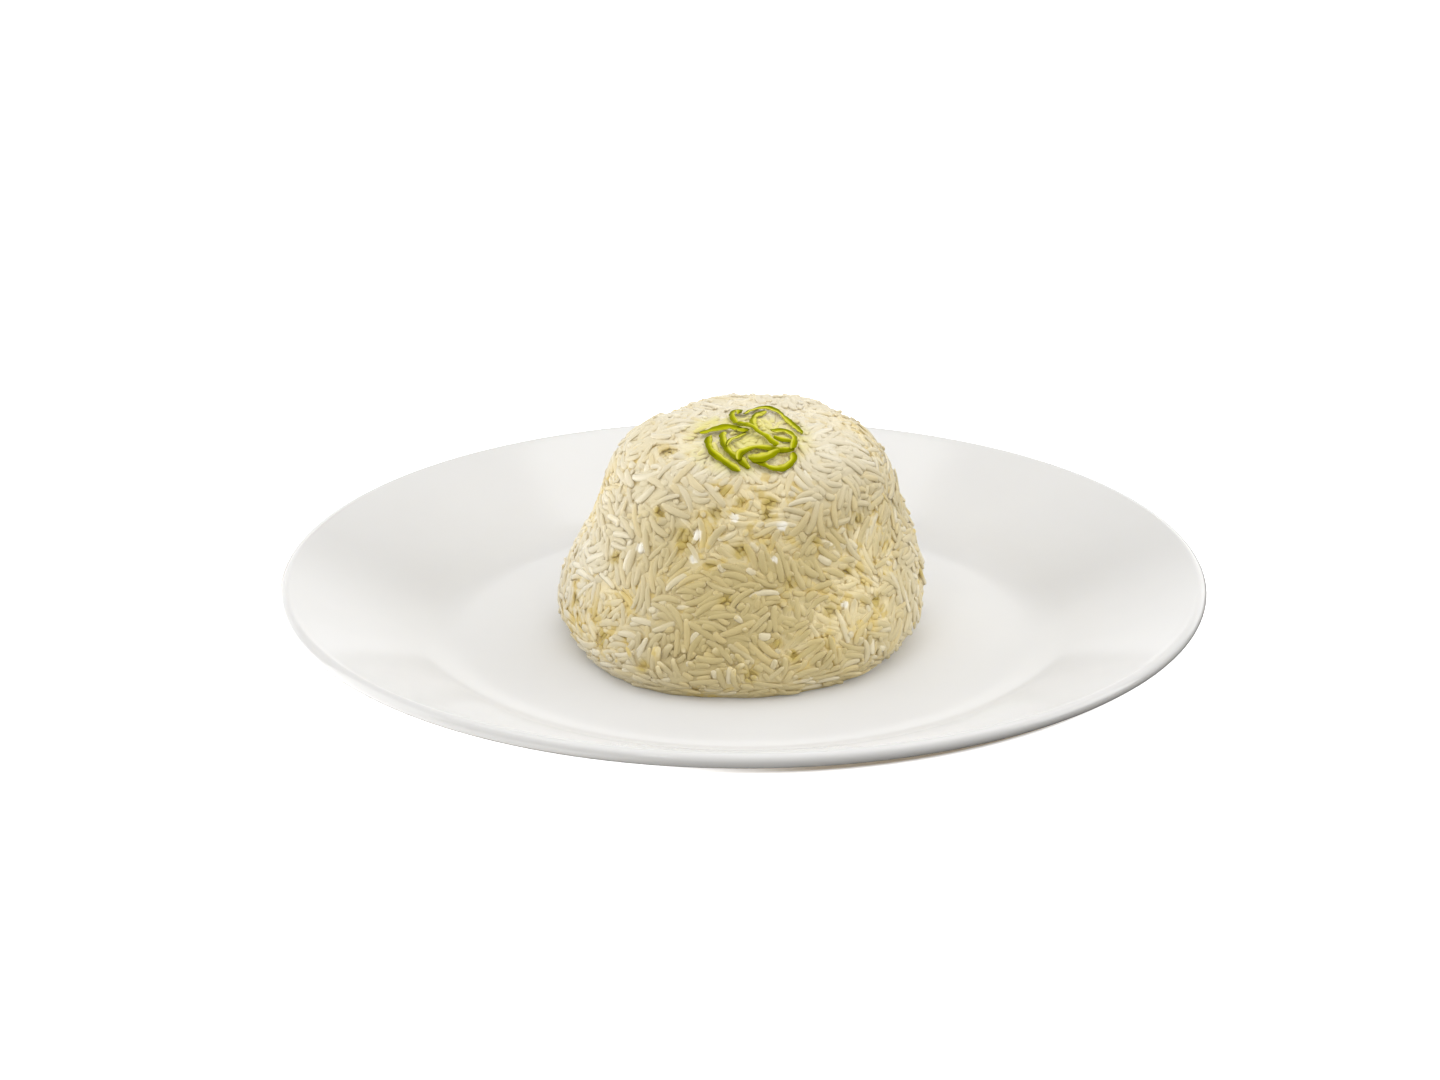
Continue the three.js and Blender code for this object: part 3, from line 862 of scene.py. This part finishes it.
# The garnish is a loose tangle of finely cut green herb, in shreds 1.5 to 3.2 mm wide and half a millimetre
# thick. They were dropped on the mound's front shoulder one by one and rest on the grains and on each other.
# Each shred has its width, the share of it that is pale, and the points of its way, seen from above.
SHREDS = [
    (2.2, 0.4, [(-12.1, -17), (-12.4, -20.4), (-11.7, -24.7), (-9.9, -27.9), (-7, -31.2), (-3.7, -34.2)]),
    (1.9, 0.4, [(-2.7, -1.6), (-0.6, 2.1), (2.6, 4), (5.4, 3), (9, -4.5), (13.2, -17)]),
    (2.2, 0.4, [(-0.7, -29.5), (1.6, -30.7), (5, -32.7), (8.6, -32.3), (11, -29), (10.6, -26.3)]),
    (2.2, 0.45, [(-8.5, -15), (-8.2, -21.5), (-6.6, -26.8), (-3.6, -30), (-1, -33.3)]),
    (2.2, 0.4, [(-4, -30.9), (-3.4, -28), (0, -25.6), (4.5, -25.6), (8.4, -26.3), (11, -25.2)]),
    (2.8, 0.45, [(-1.5, -30.6), (2.6, -29.8), (6.8, -27.3)]),
    (1.5, 0.5, [(-2.1, -18.1), (-4.4, -20.4), (-6.6, -22.9), (-7.2, -25.2)]),
    (2.0, 0.55, [(0.5, -15.3), (-0.3, -8.2), (0.8, -2.6), (3.6, 0.4)]),
    (1.8, 0.35, [(5.3, -20.1), (7.4, -21.2), (10.6, -21.4)]),
    (2.0, 0.35, [(4.8, -18.3), (6.6, -15.9), (9, -15.9), (11, -20.5), (10.4, -26.3)]),
    (3.2, 0.15, [(-14.7, -16.2), (-10.3, -13.9), (-5.6, -12.6), (-3.6, -15.6), (-2.4, -19)]),
    (2.0, 0.3, [
        (-4.2, -3.2), (-4.3, 0.2), (-5.5, 1), (-6.3, -2.8), (-4.9, -8.4), (-1.6, -15.9), (3.3, -21),
        (6.2, -26.5),
    ]),
]
TANGLE_MIDDLE = (0, -17)
SHRED_SEED = 50
SHRED_STEPS = 400
# A shred keeps a gap above the grains and above the shreds that it crosses, and bends only so far each step.
SHRED_THICKNESS = 0.5
SHRED_GROUND = 0.25
SHRED_GAP = 0.2
SHRED_MARGIN = 0.3
SHRED_BEND = 0.1
SETTLING_ROUNDS = 80
# Its section is a flat oval that waves, curls and twists along the way. The curled end of shred 12 is wider.
SHRED_SECTION = 17
SHRED_SQUARENESS = 0.6
SHRED_FLATNESS = 0.7
SHRED_FULLNESS = 0.98
POINTS_EACH_STEP = 4
SMOOTHING = np.array([1, 2, 3, 2, 1]) / 9
TIP_WIDTH = 0.4
TIP_LENGTH = 1.5
MEAN_WIDTH = 0.95
LONG_WAVE = 0.13, 0.8
SHORT_WAVE = 0.08, 2.1
CURL_WAVE = 0.2, 0.35
TWIST_WAVE = 0.22, 0.45
CURLED_ENDS = {12: 0.25}
CURLED_LENGTH = 3.0

# The skin of the herb is dark at its outer edge and pale where the inside shows.
HERB_DARKS = (0.16, 0.17, 0.0, 1), (0.26, 0.27, 0.0, 1)
HERB_GREEN = 1, (0.42, 0.43, 0.0, 1)
HERB_PALE = 1, (0.68, 0.64, 0.09, 1)
HERB_INNER_RIM = 0.5
HERB_STREAK = 0.5, (0.22, 0.23, 0.0, 1)
HERB_PATCH_EDGES = 0.35, 0.65
HERB_GREEN_EDGES = -0.4, 0.2
HERB_PALE_EDGES = -0.1, 0.4
HERB_INNER_RIM_EDGES = 0.7, 1.0
HERB_STREAK_EDGES = 0.48, 0.7
HERB_PATCHES = 90.0
HERB_STREAKS = 260.0
HERB_ROUGHNESS = 0.5
HERB_DULLER = 0.15


def lay_shreds():
    """Lays the shreds down one by one. Each comes out as points with the lift in third place, 1 mm apart."""
    laid = []
    for width, _, way in SHREDS:
        curve, run = through_points(way, SHRED_STEPS)
        steps = 2 * round(run[-1] / 2)
        at = np.linspace(0, run[-1], steps + 1)
        flat = np.stack([np.interp(at, run, curve[:, k]) for k in (0, 1)], -1)
        rests = np.full(steps + 1, SHRED_GROUND)
        for other_width, other in laid:
            gaps = np.linalg.norm(flat[:, None] - other[None, :, :2], axis=-1)
            under = gaps < (width + other_width) / 2 + SHRED_MARGIN
            tops = np.where(under, other[None, :, 2] + SHRED_THICKNESS + SHRED_GAP, 0)
            rests = np.maximum(rests, tops.max(1))
        lifts = rests.copy()
        for _ in range(SETTLING_ROUNDS):
            for i in range(steps + 1):
                around = (lifts[max(i - 1, 0)] + lifts[min(i + 1, steps)]) / 2
                lifts[i] = max(rests[i], around - SHRED_BEND)
        laid.append((width, np.column_stack([flat, lifts])))
    return laid


def shred_mesh(name, width, pale_share, points, curled_share, seed):
    """A ribbon along the points. Its attribute "inwards" grows from -1 at its outer edge to 1 at the edge
    that faces the tangle's middle, and "pale" is above 0 on the pale share of the width."""
    random = np.random.default_rng(seed)
    long_turn, curl_turn, twist_turn, short_turn = random.random(4) * TAU
    count = POINTS_EACH_STEP * (len(points) - 1) + 1
    at = np.linspace(0, len(points) - 1, count)

    def wave(size, rate, turn):
        return size * np.sin(at * rate + turn)

    line = np.stack([np.interp(at, np.arange(len(points)), points[:, k]) for k in range(3)], -1)
    padded = np.concatenate([line[:1]] * 2 + [line] + [line[-1:]] * 2)
    line = np.stack([np.convolve(padded[:, k], SMOOTHING, "valid") for k in range(3)], -1)
    way = np.gradient(line[:, :2], axis=0)
    side = np.stack([-way[:, 1], way[:, 0]], -1) / np.linalg.norm(way, axis=1)[:, None]
    end = np.minimum(at, at[-1] - at)
    half = SHRED_FULLNESS * width / 2
    half = half * np.minimum(1, TIP_WIDTH + (1 - TIP_WIDTH) * np.sqrt(np.minimum(1, end / TIP_LENGTH)))
    half *= MEAN_WIDTH + wave(*LONG_WAVE, long_turn) + wave(*SHORT_WAVE, short_turn)
    half *= 1 + curled_share * np.exp(-((at / CURLED_LENGTH) ** 2))
    angles = np.linspace(0, TAU, SHRED_SECTION, endpoint=False)
    across, thick = (
        np.sign(part) * np.abs(part) ** SHRED_SQUARENESS for part in (np.cos(angles), np.sin(angles))
    )
    x = line[:, None, 0] + side[:, None, 0] * half[:, None] * across
    y = line[:, None, 1] + side[:, None, 1] * half[:, None] * across
    curl = (across**2 - 0.5) * wave(*CURL_WAVE, curl_turn)[:, None]
    twist = across * wave(*TWIST_WAVE, twist_turn)[:, None]
    lift = line[:, 2, None] + SHRED_FLATNESS * SHRED_THICKNESS / 2 * thick + curl + twist
    place, _ = mound_point(np.hypot(x, y), np.arctan2(y, x), lift)
    sides = len(angles)
    faces = [tuple(range(sides))[::-1], tuple((count - 1) * sides + k for k in range(sides))]
    for i in range(count - 1):
        for k in range(sides):
            after = (k + 1) % sides
            faces.append((i * sides + k, i * sides + after, (i + 1) * sides + after, (i + 1) * sides + k))
    mesh = new_mesh(name, place.reshape(-1, 3), faces)
    inwards = np.sign((side * (np.array(TANGLE_MIDDLE) - line[:, :2])).sum())
    add_values(mesh, "inwards", np.tile(across * inwards, count))
    add_values(mesh, "pale", np.tile(across * inwards + 2 * pale_share - 1, count))
    return mesh


def herb_finish(nodes):
    place = nodes.place()
    inwards = nodes.attribute("inwards")
    pale = nodes.attribute("pale")
    streak = nodes.noise(place, HERB_STREAKS, detail=3.0, roughness=0.6)
    patch = nodes.noise(place, HERB_PATCHES)
    dark = nodes.mix(patch.ramp(*HERB_PATCH_EDGES), *HERB_DARKS)
    layers = [
        (inwards.ramp(*HERB_GREEN_EDGES), *HERB_GREEN),
        (pale.ramp(*HERB_PALE_EDGES), *HERB_PALE),
        (inwards.ramp(*HERB_INNER_RIM_EDGES), HERB_INNER_RIM, dark),
        (streak.ramp(*HERB_STREAK_EDGES), *HERB_STREAK),
    ]
    return nodes.surface({
        "Base Color": nodes.layered(dark, layers),
        "Roughness": HERB_ROUGHNESS + HERB_DULLER * patch,
        "IOR": 1.42,
        "Specular IOR Level": 0.02,
        "Subsurface Weight": 0.1,
        "Subsurface Radius": (0.8, 1.0, 0.15),
        "Subsurface Scale": 0.0006,
        "Normal": nodes.bump(streak, strength=0.7, distance=0.0003),
    })


herb = new_material("fresh_herb", herb_finish)
for number, (width, points) in enumerate(lay_shreds(), 1):
    name = f"herb_ribbon_{number:02d}"
    pale_share = SHREDS[number - 1][1]
    curled_share = CURLED_ENDS.get(number, 0)
    ribbon = shred_mesh(name, width, pale_share, points, curled_share, SHRED_SEED + number)
    shred = new_piece(name, ribbon, herb)
    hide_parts(f"herb_shred_{number:02d}")
    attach(shred, "root")

# The plate stands on a plain white table, and its glaze mirrors a bright low screen behind it. The table
# glows outside the plate's foot, but not in a painted brown shade under the lip at the front right.
TABLE_SIZE = 6.0
TABLE_WHITE = (0.9, 0.9, 0.9, 1)
TABLE_SHADE = (0.9, 0.77, 0.6, 1)
TABLE_ROUGHNESS = 0.8
TABLE_GLOW = 1.05
GLOW_RADII = 0.083, 0.09
SHADE_BACK = 0.045
SHADE_RADII = 0.1365, 0.1335
SHADE_LEFT = -0.03, 0.025
SHADE_FRONT = -0.015, -0.035
SCREEN_WIDTH = 3.2
SCREEN_HEIGHT = 0.8
SCREEN_DISTANCE = 1.3
SCREEN_GLOW = 1.2
SCREEN_DIM = (1 / 3, 1 / 3, 1 / 3, 1)
SCREEN_FADE = 0.78, 0.4
BLACK = (0, 0, 0, 1)
WHITE = (1, 1, 1, 1)


def table_finish(nodes):
    x, y = nodes.parts(nodes.place(), "XY")
    radius = (x * x + y * y) ** 0.5
    back_y = y - SHADE_BACK
    under_lip = ((x * x + back_y * back_y) ** 0.5).ramp(*SHADE_RADII)
    # Painted shade, brown, under the lip at the front right.
    shaded = under_lip * x.ramp(*SHADE_LEFT) * y.ramp(*SHADE_FRONT)
    return nodes.surface({
        "Base Color": nodes.mix(shaded, TABLE_WHITE, TABLE_SHADE),
        "Roughness": TABLE_ROUGHNESS,
        "Emission Color": nodes.mix(radius.ramp(*GLOW_RADII) * (1 - shaded), BLACK, WHITE),
        "Emission Strength": TABLE_GLOW,
    })


def screen_finish(nodes):
    (height,) = nodes.parts(nodes.place(), "Z")
    glow = nodes.mix(height.ramp(*SCREEN_FADE), SCREEN_DIM, WHITE)
    return nodes.add("ShaderNodeEmission", {}, {"Color": glow, "Strength": SCREEN_GLOW})


def flat_piece(name, corners, material):
    """One flat face through its corners, in metres."""
    mesh = bpy.data.meshes.new(name)
    mesh.from_pydata(corners, [], [(0, 1, 2, 3)])
    return new_piece(name, mesh, material)


reach = TABLE_SIZE / 2
table = flat_piece(
    "table_top",
    [(-reach, -reach, 0), (reach, -reach, 0), (reach, reach, 0), (-reach, reach, 0)],
    new_material("white_table", table_finish),
)
half = SCREEN_WIDTH / 2
screen = flat_piece(
    "screen",
    [
        (-half, SCREEN_DISTANCE, 0),
        (half, SCREEN_DISTANCE, 0),
        (half, SCREEN_DISTANCE, SCREEN_HEIGHT),
        (-half, SCREEN_DISTANCE, SCREEN_HEIGHT),
    ],
    new_material("bright_screen", screen_finish),
)
table.visible_diffuse = False
table.visible_glossy = False

# The light is soft: a large softbox overhead, one on each side, one in front, and a small one that makes the
# wet grains glint. From below the horizon a bright bounce comes from the left, and a faint warm one from the
# right.
SKY_STRENGTH = 0.46
HORIZON = 0.05
LEFT_BOUNCE = 2.6
LEFT_BOUNCE_EDGES = -0.2, -0.6
RIGHT_BOUNCE = 0.1
RIGHT_BOUNCE_EDGES = 0.6, 0.95
WARM_BOUNCE = (1.0, 0.8, 0.55, 1)
WHITE_BOUNCE_EDGES = -0.1, -0.6
# Each softbox has its name, place, target, size in metres and power in watts.
SOFTBOXES = [
    ("overhead", (0.1, 0.0, 1.3), (0, 0, 0.03), 1.8, 12.8),
    ("left", (-0.9, 0.0, 0.25), (0, 0, 0.04), 0.6, 2.4),
    ("right", (0.95, -0.1, 0.4), (0, 0, 0.04), 0.6, 2.9),
    ("front", (0.1, -1.2, 0.9), (0, 0, 0.03), 1.2, 2.0),
    ("spark", (-0.3, -0.75, 0.75), (0, 0, 0.05), 0.08, 0.5),
]


def looking(place, target):
    """The matrix of a lamp or camera at place that looks at target with its top up."""
    back = (Vector(place) - Vector(target)).normalized()
    right = Vector((0, 0, 1)).cross(back).normalized()
    up = back.cross(right)
    columns = Matrix((right, up, back)).transposed().to_4x4()
    return Matrix.Translation(place) @ columns


def softbox(name, place, target, size, power):
    """A square area light at place that faces target."""
    light = bpy.data.lights.new(name, "AREA")
    light.shape = "SQUARE"
    light.size = size
    light.energy = power
    lamp = bpy.data.objects.new(name, light)
    bpy.context.scene.collection.objects.link(lamp)
    lamp.matrix_world = looking(place, target)


for box in SOFTBOXES:
    softbox(*box)

world = bpy.data.worlds.new("studio")
world.use_nodes = True
surround = Nodes(world.node_tree)
across, upwards = surround.parts(surround.add("ShaderNodeTexCoord", output="Generated"), "XZ")
above = upwards.ramp(-HORIZON, HORIZON)
bounce = LEFT_BOUNCE * across.ramp(*LEFT_BOUNCE_EDGES) + RIGHT_BOUNCE * across.ramp(*RIGHT_BOUNCE_EDGES)
strength = SKY_STRENGTH * above + upwards.ramp(HORIZON, -HORIZON) * bounce
tint = surround.mix(across.ramp(*WHITE_BOUNCE_EDGES), WARM_BOUNCE, WHITE)
tint = surround.mix(above, tint, WHITE)
glow = surround.add("ShaderNodeBackground", {}, {"Color": tint, "Strength": strength})
surround.add("ShaderNodeOutputWorld", {}, {"Surface": glow})
bpy.context.scene.world = world
bpy.context.scene.view_settings.view_transform = "Standard"

# The camera stands 90 cm away, 21.5 degrees above the table, with a lens a little longer than a portrait one.
# It is turned by less than a degree to the side and upwards, so that the plate isn't quite in the middle.
CAMERA_DISTANCE = 0.9
CAMERA_TARGET = (0, 0, 0.02)
CAMERA_ELEVATION = math.radians(21.46)
CAMERA_YAW = math.radians(0.43)
CAMERA_PITCH = math.radians(0.79)
LENS = 76.33
SENSOR_WIDTH = 36

camera_data = bpy.data.cameras.new("camera")
camera_data.sensor_width = SENSOR_WIDTH
camera_data.lens = LENS
camera = bpy.data.objects.new("camera", camera_data)
bpy.context.scene.collection.objects.link(camera)
camera_place = (
    0,
    -CAMERA_DISTANCE * math.cos(CAMERA_ELEVATION),
    CAMERA_TARGET[2] + CAMERA_DISTANCE * math.sin(CAMERA_ELEVATION),
)
aim = Matrix.Rotation(CAMERA_YAW, 4, "Y") @ Matrix.Rotation(CAMERA_PITCH, 4, "X")
camera.matrix_world = looking(camera_place, CAMERA_TARGET) @ aim
bpy.context.scene.camera = camera
